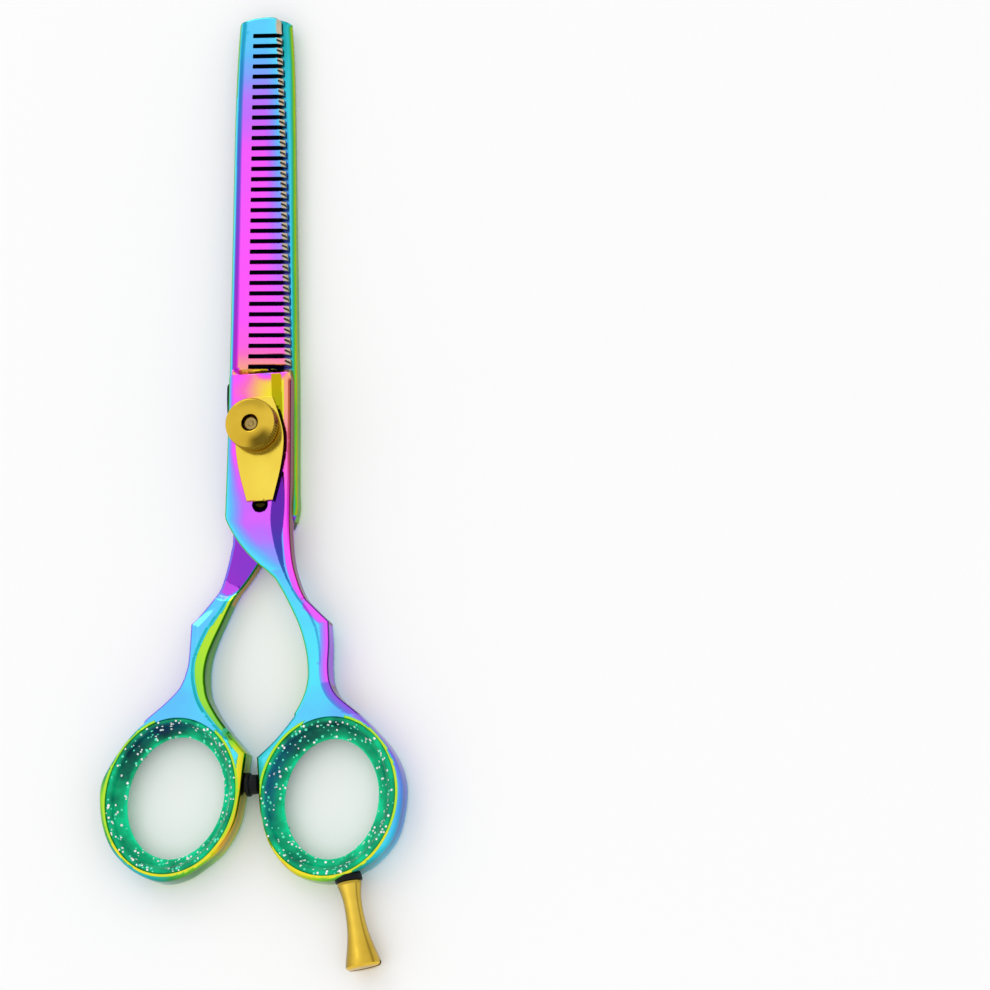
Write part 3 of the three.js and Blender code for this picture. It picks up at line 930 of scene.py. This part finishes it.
def paint_toothed_wall(points, share):
    x, y = points.T
    paint = coat_and_shade(points, 0.3, 0.8)
    comb = toothed_plan.distance(points, "tooth") < 0.05
    # Slot walls between the teeth get painted shade, so the slots look dark
    stripe(paint, comb, tint=0.48, shade=0.06)
    stripe(paint, comb & (x > 2.8), bare=1.0, shade=0.4)
    hub = ~comb & (y > -31)
    stripe(paint, hub & (x > 3), tint=0.14, shade=0.22)
    stripe(paint, hub & (x < 0), tint=0.66, shade=0.8)
    outer = toothed_plan.distance(points, "shank_outer") < 0.05
    stripe(paint, outer & (y > -34.5), tint=0.16, shade=np.where(share < 0.3, 0.3, 0.12))
    stripe(paint, outer & (y <= -34.5), tint=0.36, shade=0.8)
    stripe(paint, outer & (y <= -44.5), tint=0.18, shade=0.25)
    inner = toothed_plan.distance(points, "shank_inner") < 0.05
    stripe(paint, inner, tint=0.91, shade=0.9)
    paint_ring_wall(paint, points, share, FINGER_RING, FINGER_RING_TINTS)
    return paint


PLAIN_TINTS = (
    (4.5, 72, 0.78), (4.5, 40, 0.70), (5, 10, 0.66), (-4.5, 10, 0.62), (-5, -5, 0.6), (3, -18, 0.37),
    (-2, -20, 0.37), (-4, -24, 0.36), (-5, -27, 0.34), (-7, -30, 0.60), (-9.5, -34, 0.59),
    (-10.6, -38, 0.60), (-11, -42, 0.63), (-13, -47, 0.58), (-9, -50, 0.60), (-3.5, -54, 0.66),
    (-4, -64, 0.84), (-9, -73, 0.86), (-16, -76.5, 0.90), (-23, -73, 0.72), (-26.5, -66, 0.62),
    (-26, -58, 0.60), (-21, -52, 0.58),
)
# Lower end of the flat facet on the plain half's shank, and a fine grinding line across it
FACET_END = dense([(-8.4, -27.5), (-7.2, -28.1), (-5.2, -28.5), (-3.7, -27.7), (-1.7, -25.5), (0.0, -23.6)])
FACET_LINE = dense([(-6.9, -25.1), (-6.3, -25.4), (-5.1, -26.3), (-3.0, -27.2)])

plain_plan = half_plan("plain_half", 1, 2.3, plain_edge)


def curve_y(curve, x):
    """The y of a curve that runs to the right, at each x."""
    return np.interp(x, curve[:, 0], curve[:, 1])


def below_facet(points):
    """How far a point lies below the lower end of the flat facet; negative above it."""
    return curve_y(FACET_END, points[:, 0]) - points[:, 1]


def bevel_width(y):
    """Width of the bevel along the inside of the plain half's shank."""
    return np.interp(-y, (28, 34, 40, 48, 54), (0.5, 1.5, 1.75, 1.2, 0.6))


def plain_top(points):
    x, y = points.T
    height = ramp_between(y, SHANK_RISE[1], RING_TOP, SHANK_RISE[0], MATING - 0.15)
    height = height + 0.2 * np.clip(below_facet(points) / 0.9, 0, 1) * (y < -23) * (y > -44)
    outer = plain_plan.distance(points, "shank_outer")
    height = height - chamfer(outer, 1.2, 0.25) * np.clip((-30 - y) / 2, 0, 1)
    inner = plain_plan.distance(points, "shank_inner")
    height = height - chamfer(inner, 1.75, 0.9) * np.clip((-29 - y) / 5, 0, 1)
    height = height - chamfer(plain_plan.distance(points, "edge"), 0.7, 0.3)
    for kind, radius in (("hole", 0.2), ("ring", 1.1), ("tip", 0.25)):
        height = height - lip(plain_plan.distance(points, kind), radius)
    return height


def plain_bottom(points):
    y = points[:, 1]
    places = (SHANK_RISE[1], -20, -12, SHOULDER_Y, 16, TIP_Y)
    height = np.interp(y, places, (RING_LOW, 0.3, 0.1, 0.1, 0.5, 1.9))
    height = height + chamfer(plain_plan.distance(points, "spine"), 1.6, 0.5)
    height = height + chamfer(plain_plan.distance(points, "edge"), 1.2, 0.4)
    for kind, radius in (("hole", 0.35), ("ring", 0.55), ("shank_outer", 0.5), ("shank_inner", 0.5)):
        height = height + lip(plain_plan.distance(points, kind), radius)
    head = np.hypot(*points.T) < 3.7
    return np.where(head, 1.3, height)


def paint_plain(points):
    x, y = points.T
    paint = coat_and_shade(points, spread(points, PLAIN_TINTS, 1.2))
    edge = plain_plan.distance(points, "edge")
    front = y > -15.2
    near_teeth = np.interp(y, (10, 25, 40, 55, 70), (0.44, 0.46, 0.52, 0.62, 0.72))
    across = np.interp(edge, (0, 0.15, 0.35, 0.6, 0.8), (1.0, 0.93, 0.86, 0.78, 0.70))
    across = np.where(edge > 0.8, 0.70 + (near_teeth - 0.70) * np.clip((edge - 0.8) / 0.4, 0, 1), across)
    shade = np.interp(edge, (0, 0.2, 0.5, 0.8, 1.2), (0.5, 0.75, 0.95, 0.9, 0.75))
    stripe(paint, front, tint=across, shade=shade)
    # Painted shade on the part under the comb, so the slots between the teeth look dark
    stripe(paint, front & (edge > 2.3), shade=0.02)
    outer = plain_plan.distance(points, "shank_outer")
    inner = plain_plan.distance(points, "shank_inner")
    below = below_facet(points)
    facet = (below < 0) & (y < -15)
    stripe(paint, facet, tint=0.36, shade=0.62)
    stripe(paint, facet & (y < curve_y(FACET_LINE, x)), tint=0.34, shade=0.85)
    stripe(paint, facet & ((outer < 0.35) | (below > -0.4)), tint=0.50, shade=0.9)
    on_line = (np.abs(y - curve_y(FACET_LINE, x)) < 0.09) & (x > -6.8)
    stripe(paint, facet & on_line & (below < -0.5), shade=0.3)
    low = (below >= 0) & (y > -54) & (y < -23)
    width = bevel_width(y)
    stripe(paint, low & (inner < width + 0.68), tint=0.70, shade=0.72)
    stripe(paint, low & (inner < width + 0.13), tint=0.68, shade=1.05)
    stripe(paint, low & (inner < width), tint=np.interp(-y, (28, 38, 50), (0.96, 0.93, 0.88)), shade=1.0)
    stripe(paint, (inner < 0.3) & (y < -16), tint=0.88, shade=0.25)
    stripe(paint, (outer < 0.15) & (y < -16), tint=0.42, shade=0.8)
    paint_ring(paint, points, plain_plan, THUMB_RING, THUMB_RING_TINTS)
    return paint


def paint_plain_bottom(points):
    y = points[:, 1]
    paint = coat_and_shade(points, np.where(y > SHOULDER_Y, face_tint(y), spread(points, PLAIN_TINTS)))
    stripe(paint, plain_plan.distance(points, "spine") < 1.6, tint=0.64)
    stripe(paint, plain_plan.distance(points, "edge") < 1.2, tint=0.9)
    return paint


def paint_plain_wall(points, share):
    x, y = points.T
    paint = coat_and_shade(points, 0.90, 0.7)
    stripe(paint, (y > -15) & (x > 0), tint=0.90, shade=0.6)
    stripe(paint, (y > 0) & (x < 0), tint=0.62, shade=0.7)
    stripe(paint, plain_plan.distance(points, "shank_outer") < 0.05, tint=0.42, shade=0.8)
    inner = plain_plan.distance(points, "shank_inner") < 0.05
    stripe(paint, inner, tint=0.90, shade=np.interp(share, (0.1, 0.3), (0.25, 0.55)))
    stripe(paint, inner & (y > -30), tint=1.04, shade=0.5)
    stripe(paint, inner & (y > -23.5), shade=0.02)
    paint_ring_wall(paint, points, share, THUMB_RING, THUMB_RING_TINTS)
    return paint


def tooth_points():
    """Extra mesh points along the line in each tooth's end."""
    reaches = (0.02, 0.15, 0.28, 0.41, 0.54, 0.67, 0.78, 0.88)
    return [(x - reach, y + side + (reach - 0.4) * NOTCH_SLOPE)
            for x, y in TIPS for reach in reaches for side in (-0.2, -0.1, 0, 0.1, 0.2)]


def toothed_seams():
    ledges = [[(x, SHOULDER_Y + above) for x in (-4.5, 0, 5.7)] for above in (0.2, 1.35)]
    olive = [[(3.85 + side - 0.04 * y, y) for y in (9, 3, -3)] for side in (-0.9, 0.9)]
    spine = [[(-4.4 + 0.013 * (y - 40) / 1.3 + side, y) for y in (73, 40, 12)] for side in (0.48, 1.2)]
    angles = np.linspace(0, 2 * math.pi, 30)
    pocket = [(0.75 + 1.4 * math.cos(t), -13.4 + 1.4 * math.sin(t)) for t in angles]
    return np.vstack([seam(c) for c in (*ledges, CREASE, LENS_RIGHT, pocket, *olive, *spine)])


def offset_rows(plan, kind, width, offsets):
    """Mesh points inside one class of edges, at a width that changes with y, plus some offsets."""
    chosen = plan.kind == kind
    start, along = plan.start[chosen], (plan.end - plan.start)[chosen]
    inward = np.stack([-along[:, 1], along[:, 0]], 1) / np.hypot(*along.T)[:, None]
    return np.vstack([start + inward * (width(start[:, 1]) + offset)[:, None] for offset in offsets])


def band_rows(plan, depths):
    """Mesh points on both sides of some depths inside the edges of the hub, shank and ring."""
    return np.vstack([plan.contour(depth + side, SHOULDER_Y) for depth in depths for side in (-0.05, 0.05)])


def build_halves():
    by_leaf = np.vstack([leaf_outside(0.37), leaf_outside(0.47)])
    toothed_bands = band_rows(toothed_plan, (0.5, 1.12, 1.45))
    toothed_extra = np.vstack([tooth_points(), toothed_seams(), by_leaf, toothed_bands])
    bevel = offset_rows(plain_plan, "shank_inner", bevel_width, (-0.06, 0.06, 0.2, 0.6, 0.75))
    plain_bands = band_rows(plain_plan, (0.5, 1.12))
    plain_extra = np.vstack([bevel, seam(FACET_END), seam(FACET_LINE, 0.1), plain_bands])
    toothed = slab("toothed_half_shell", toothed_plan, toothed_top, toothed_bottom, paint_toothed,
                   paint_toothed_bottom, paint_toothed_wall, extra=toothed_extra)
    finish_piece(toothed, RAINBOW_STEEL, "rainbow_steel", "finger_half", "toothed_half")
    plain = slab("plain_half_shell", plain_plan, plain_top, plain_bottom, paint_plain,
                 paint_plain_bottom, paint_plain_wall, extra=plain_extra)
    finish_piece(plain, RAINBOW_STEEL, "rainbow_steel", "thumb_half", "plain_half")


# ---------------------------------------------------------------------- pivot

LEAF_Z = HUB_TOP + 0.3
LEAF_THICK = 0.45
KNOB_Z = LEAF_Z + LEAF_THICK + 0.3
KNOB_R = 4.4
KNOB_H = 3.2
KNOB_BORE_R = 1.45
KNOB_RIBS = 60
UPRIGHT = Matrix.Identity(4)


def build_leaf():
    def middle(points):
        """The leaf is arched: lowest where its ends press on the hub, with the tab bent down."""
        arch = -0.28 * np.clip(np.abs(points[:, 1] + 2) / 12, 0, 1) ** 2
        return arch - 0.75 * np.clip((-12.85 - points[:, 1]) / 0.35, 0, 1)

    def top(points):
        return LEAF_Z + LEAF_THICK + middle(points) - lip(leaf_plan.distance(points), 0.16)

    def bottom(points):
        return LEAF_Z + middle(points) + lip(leaf_plan.distance(points), 0.1)

    def paint(points):
        # The bent-down tab is painted almost black, as painted shade in the pocket
        return coat_and_shade(points, 0.0, np.where(points[:, 1] < -12.9, 0.03, 1.0))

    def paint_wall(points, share):
        # The leaf's edges get painted shade: nearly black on the right side, dimmer on the left
        return coat_and_shade(points, 0.0, np.where(points[:, 0] > 0.75, 0.05, 0.6))

    leaf = slab("leaf_plate", leaf_plan, top, bottom, paint, paint, paint_wall, walls=2)
    finish_piece(leaf, LEAF_GOLD, "gold_steel", "finger_half", "leaf_spring")


def knob_shade(radius, angle, z):
    """Painted reflections darken the knob's face at its lower right and in a band along its upper side; the
    rows near its base get painted shade.
    """
    if z < KNOB_Z + 1:
        return 0.4
    out = np.clip((radius - 1.9) / 1.3, 0, 1)
    from_dark = (angle - math.radians(302) + math.pi) % (2 * math.pi) - math.pi
    low = math.exp(-(math.degrees(from_dark) / 34) ** 4)
    top = math.exp(-((math.degrees(angle) - 85) / 45) ** 4)
    return 1 - 0.78 * low * out - 0.25 * top * np.clip((radius - 2.6) / 0.8, 0, 1)


def build_knob():
    high = KNOB_Z + KNOB_H
    rows = [(KNOB_BORE_R, KNOB_Z, 0), (KNOB_R - 0.45, KNOB_Z, 0), (KNOB_R - 0.2, KNOB_Z + 0.1, 0),
            (KNOB_R - 0.02, KNOB_Z + 0.4, 0.6), (KNOB_R, KNOB_Z + 0.55, 1), (KNOB_R, high - 0.5, 1),
            (KNOB_R - 0.02, high - 0.38, 0.6), (KNOB_R - 0.12, high - 0.2, 0),
            (KNOB_R - 0.25, high - 0.06, 0), (KNOB_R - 0.42, high, 0)]
    rows += [(radius, high, 0) for radius in (3.6, 3.2, 2.8, 2.4, 2.0, KNOB_BORE_R + 0.25)]
    rows += [(KNOB_BORE_R + 0.08, high - 0.05, 0), (KNOB_BORE_R, high - 0.16, 0)]
    steps = KNOB_RIBS * 6
    vertices, shade = [], []
    for radius, z, ribbed in rows:
        for i in range(steps):
            angle = 2 * math.pi * i / steps
            valley = (0.5 + 0.5 * math.cos(KNOB_RIBS * angle)) ** 0.7
            groove = 0.22 * ribbed * valley
            # The ribbed side wall gets painted shade, darkest in the grooves between the ribs
            shade.append((1 - 0.85 * ribbed * valley) * 0.42 if ribbed else knob_shade(radius, angle, z))
            vertices.append(((radius - groove) * math.cos(angle), (radius - groove) * math.sin(angle), z))
    knob = make_mesh("knob_body", vertices, tube_faces(len(rows), steps), {"shade": shade}, sharp=35)
    finish_piece(knob, KNOB_GOLD, "gold_steel", "knob", "tension_knob")


def build_screw():
    shoulder = HUB_TOP - 0.1
    top = KNOB_Z + KNOB_H - 0.8
    threads = []
    z = shoulder + 0.1
    while z < top - 0.5:
        threads += [(1.1, z), (0.98, z + 0.12)]
        z += 0.25
    profile = [(0, 0), (3.4, 0), (3.4, 1.0), (2.0, 1.0), (2.0, shoulder), (1.1, shoulder)] + threads
    profile += [(1.1, top), (0.55, top), (0.4, top - 0.18), (0, top - 0.25)]
    screw = turned("screw_body", rounded(profile, 0.15, 2), 64, UPRIGHT)
    cut(screw, box_cutter((5.4, 0.8, 1.0), Matrix.Rotation(math.radians(35), 4, "Z")))
    finish_piece(screw, STEEL, "bare_steel", "thumb_half", "pivot_screw")


def build_washer():
    z = MATING + 0.15
    profile = [(2.3, z), (3.6, z), (3.6, z + 0.5), (2.3, z + 0.5), (2.3, z)]
    washer = turned("washer_ring", profile, 64, UPRIGHT)
    finish_piece(washer, NYLON, "white_nylon", "finger_half", "bearing_washer")


# -------------------------------------------------------------- finger rings

# Across the insert (0 at the metal, 1 at the throat) and height above the mating plane
INSERT_PROFILE = ((-0.06, -2.2), (-0.06, 2.2), (-0.03, 2.42), (0.1, 2.5), (0.2, 2.46), (0.27, 2.3),
                  (0.38, 1.75), (0.55, 1.2), (0.75, 0.85), (0.9, 0.62), (0.98, 0.35), (1.0, 0.0))


def insert_point(ring, across, angle, z):
    sizes = [h + (t - h) * across for h, t in zip(ring["hole"], ring["throat"])]
    lean = math.radians(-ring["lean"])
    u, v = sizes[2] * math.cos(angle), sizes[3] * math.sin(angle)
    return Vector((sizes[0] + u * math.cos(lean) - v * math.sin(lean),
                   sizes[1] + u * math.sin(lean) + v * math.cos(lean), MATING + z))


def insert_painted_light(across, angle):
    """Painted light on the silicone: thin parts near the throat are painted bright as if lit through, deep
    parts dark, and the side towards the upper left gets painted shade.
    """
    places = (0.0, 0.12, 0.3, 0.5, 0.85, 0.97, 1.0)
    depth = np.interp(across, places, (0.6, 0.62, 0.5, 0.58, 0.68, 0.95, 0.85))
    # Painted shade on the side towards the upper left
    facing = max(0.0, math.cos(angle - math.radians(125)))
    return depth - 0.42 * facing ** 2 * np.interp(across, (0.1, 0.3, 0.7, 1), (0.3, 1, 0.9, 0.4))


def insert_blue(across, angle, streak):
    """A blue streak down one side of the insert; streak is (side in degrees, strength)."""
    near = math.cos(angle - math.radians(streak[0]))
    return streak[1] * max(0.0, near) ** 5 * np.interp(across, (0.05, 0.2, 0.5, 0.75), (0, 1, 0.8, 0))


def build_insert(name, ring, body, node, streak):
    mirrored = [(across, -z) for across, z in reversed(INSERT_PROFILE[2:-1])]
    profile = rounded(list(INSERT_PROFILE) + mirrored, 0.12, 2)
    steps = 144
    vertices = [insert_point(ring, across, 2 * math.pi * i / steps, z)
                for across, z in profile for i in range(steps)]
    faces = tube_faces(len(profile), steps, flipped=True)
    spots = [(across, 2 * math.pi * i / steps) for across, _ in profile for i in range(steps)]
    # Painted light and shade for the silicone, kept in its tint attribute
    glow = [insert_painted_light(across, angle) for across, angle in spots]
    blue = [insert_blue(across, angle, streak) for across, angle in spots]
    insert = make_mesh(name, vertices, faces, {"tint": glow, "blue": blue}, sharp=50)
    finish_piece(insert, SILICONE, "green_silicone", body, node)
    for kind, count, size in (("white", 190, 0.21), ("green", 130, 0.24)):
        flakes = build_flakes(f"{name}_{kind}_flakes", ring, count, size)
        finish_piece(flakes, GLITTER[kind], "green_silicone", body)


def build_flakes(name, ring, count, size):
    """Six-sided glitter flakes that lie just in the insert's skin."""
    slope = INSERT_PROFILE[2:-1]
    vertices, faces = [], []
    for _ in range(count):
        place = rng.uniform(0, len(slope) - 1.001)
        i, share = int(place), place % 1
        side = rng.choice((1, 1, 1, -1))
        a, b = slope[i], slope[i + 1]
        across, z = a[0] + (b[0] - a[0]) * share, (a[1] + (b[1] - a[1]) * share + 0.03) * side
        angle = rng.uniform(0, 2 * math.pi)
        centre = insert_point(ring, across, angle, z)
        along = (insert_point(ring, across, angle + 0.01, z) - centre).normalized()
        below = insert_point(ring, b[0] + 1e-3, angle, b[1] * side)
        down = (below - insert_point(ring, a[0], angle, a[1] * side)).normalized()
        tilt = along.cross(down) * rng.uniform(-0.15, 0.15)
        radius, turn = size * rng.uniform(0.5, 1.15), rng.uniform(0, 1)
        start = len(vertices)
        for k in range(6):
            t = math.pi * k / 3 + turn
            vertices.append(centre + (along * math.cos(t) + (down + tilt) * math.sin(t)) * radius)
        faces.append(tuple(range(start, start + 6)))
    return make_mesh(name, vertices, faces)


GLITTER = {"white": glitter("white glitter", (1.0, 1.0, 1.0)),
           "green": glitter("green glitter", (0.10, 0.95, 0.60))}


BUMPER_SEAT = Matrix.Translation((-2.05, -60.9, MATING)) @ Matrix.Rotation(math.pi / 2, 4, "Y")
BUMPER_PROFILE = ((0, -0.75), (0.6, -0.75), (0.6, 0), (2.0, 0), (2.05, 0.6), (1.65, 0.8), (1.65, 2.0),
                  (1.3, 2.3), (0, 2.3))


def build_bumper():
    piece = turned("bumper_body", rounded(BUMPER_PROFILE, 0.15), 48, BUMPER_SEAT)
    finish_piece(piece, RUBBER, "black_rubber", "thumb_half", "bumper")


REST_PLACE = (Matrix.Translation((15.55, -77.15, MATING)) @ Matrix.Rotation(math.radians(10.2), 4, "Z")
              @ Matrix.Rotation(math.pi / 2, 4, "X"))
REST_FOOT = 0.8
REST_LENGTH = 14.0
# How bright the painted reflection streaks along the rest's side are, by degrees about its axis
REST_REFLECTION_STREAKS = ((0, 0.55), (18, 0.85), (34, 0.80), (42, 0.34), (50, 0.85), (75, 1.0), (98, 1.3),
                (120, 0.8), (146, 0.5), (165, 0.35), (190, 0.6), (220, 1.1), (262, 0.8), (300, 0.4),
                (330, 0.9), (360, 0.55))


def rest_shade(place):
    """Painted reflections along the rest: streaks down its side, a bright rim and a darker end face."""
    along = place.z - REST_FOOT
    if along > REST_LENGTH + 0.2:
        return 1.15 if math.hypot(place.x, place.y) > 2.3 else 0.8
    degrees, values = zip(*REST_REFLECTION_STREAKS)
    streak = np.interp(math.degrees(math.atan2(place.y, place.x)) % 360, degrees, values)
    return 0.6 if along < 0.5 else float(streak)


def build_rest():
    profile = [(2.0, -0.45), (2.3, -0.25), (2.3, 0.75), (1.1, 0.75), (1.1, -0.45), (2.0, -0.45)]
    washer = turned("rest_washer_ring", rounded(profile, 0.12), 48, REST_PLACE)
    finish_piece(washer, RUBBER, "black_rubber", "finger_half", "finger_rest_washer")
    sizes = ((2.1, 0), (1.98, 0.7), (1.76, 1.6), (1.56, 2.8), (1.5, 4.0), (1.5, 5.4), (1.6, 7.0), (1.78, 8.6),
             (2.05, 10.0), (2.35, 11.3), (2.75, 12.8), (2.92, 13.5), (3.0, REST_LENGTH))
    side = [(radius, REST_FOOT + along) for radius, along in sizes]
    end = REST_FOOT + REST_LENGTH
    profile = [(0, -0.3), (0.8, -0.3), (0.8, REST_FOOT)] + side
    profile += [(2.95, end + 0.3), (2.6, end + 0.6), (1.3, end + 0.7), (0, end + 0.75)]
    rest = turned("finger_rest_body", rounded(profile, 0.25), 96, REST_PLACE, sharp=24)
    cut(rest, box_cutter((8, 0.8, 1.5), REST_PLACE @ Matrix.Translation((0, 0, end + 0.6))))
    back = REST_PLACE.inverted()
    shade = rest.data.attributes.new("shade", "FLOAT", "POINT")
    values = [rest_shade(back @ (vertex.co / MM)) for vertex in rest.data.vertices]
    shade.data.foreach_set("value", np.array(values, np.float32))
    finish_piece(rest, REST_GOLD, "gold_steel", "rest", "finger_rest")


# --------------------------------------------------------------------- studio

LOOK = Vector((0.27, -0.235, 0.93374))
AIM = Vector((41.02, -13.42, MATING))
DISTANCE = 700
ROLL = math.radians(-0.4)
LENS_MM = 148.4
SENSOR_MM = 36


def build_camera():
    place = Vector((0, 0, MATING)) + LOOK * DISTANCE
    forward = (AIM - place).normalized()
    up = (Vector((0, 1, 0)) - forward * forward.y).normalized()
    right = forward.cross(up)
    up = up * math.cos(ROLL) - right * math.sin(ROLL)
    right = forward.cross(up)
    turn = Matrix((right, up, -forward)).transposed().to_4x4()
    data = bpy.data.cameras.new("camera")
    data.lens = LENS_MM
    data.sensor_width = SENSOR_MM
    data.clip_end = 10
    camera = bpy.data.objects.new("camera", data)
    camera.matrix_world = Matrix.Translation(place * MM) @ turn
    bpy.context.scene.collection.objects.link(camera)
    bpy.context.scene.camera = camera


def build_floor():
    size, rise = 3000, 1500
    vertices, faces = [], []
    profile = [(-size, 0), (size * 0.6, 0)]
    profile += [(size * 0.6 + rise * math.sin(t), rise * (1 - math.cos(t)))
                for t in np.linspace(0.1, 1.5, 12)]
    for y, z in profile:
        vertices += [(-size, y, z - 0.02), (size, y, z - 0.02)]
    for i in range(len(profile) - 1):
        faces.append((2 * i, 2 * i + 1, 2 * i + 3, 2 * i + 2))
    floor = make_mesh("floor", vertices, faces)
    floor.data.materials.append(studio_floor())


def area_light(name, place, size, energy):
    data = bpy.data.lights.new(name, "AREA")
    data.shape = "SQUARE"
    data.size = size
    data.energy = energy
    light = bpy.data.objects.new(name, data)
    light.matrix_world = (Matrix.Translation(place)
                          @ Vector(place).to_track_quat("Z", "Y").to_matrix().to_4x4())
    bpy.context.scene.collection.objects.link(light)


def build_lights():
    world = bpy.data.worlds.new("studio")
    world.use_nodes = True
    background = world.node_tree.nodes["Background"]
    background.inputs["Color"].default_value = (1.0, 1.0, 1.0, 1)
    background.inputs["Strength"].default_value = 1.0
    bpy.context.scene.world = world
    area_light("softbox", Vector((-0.5, 0.9, 0.8)), 0.5, 1.0)
    bpy.context.scene.view_settings.view_transform = "Standard"


build_halves()
build_leaf()
build_knob()
build_screw()
build_washer()
build_insert("finger_ring_insert", FINGER_RING, "finger_half", "finger_insert", (170, 0.8))
build_insert("thumb_ring_insert", THUMB_RING, "thumb_half", "thumb_insert", (110, 0.35))
build_bumper()
build_rest()
build_floor()
build_lights()
build_camera()
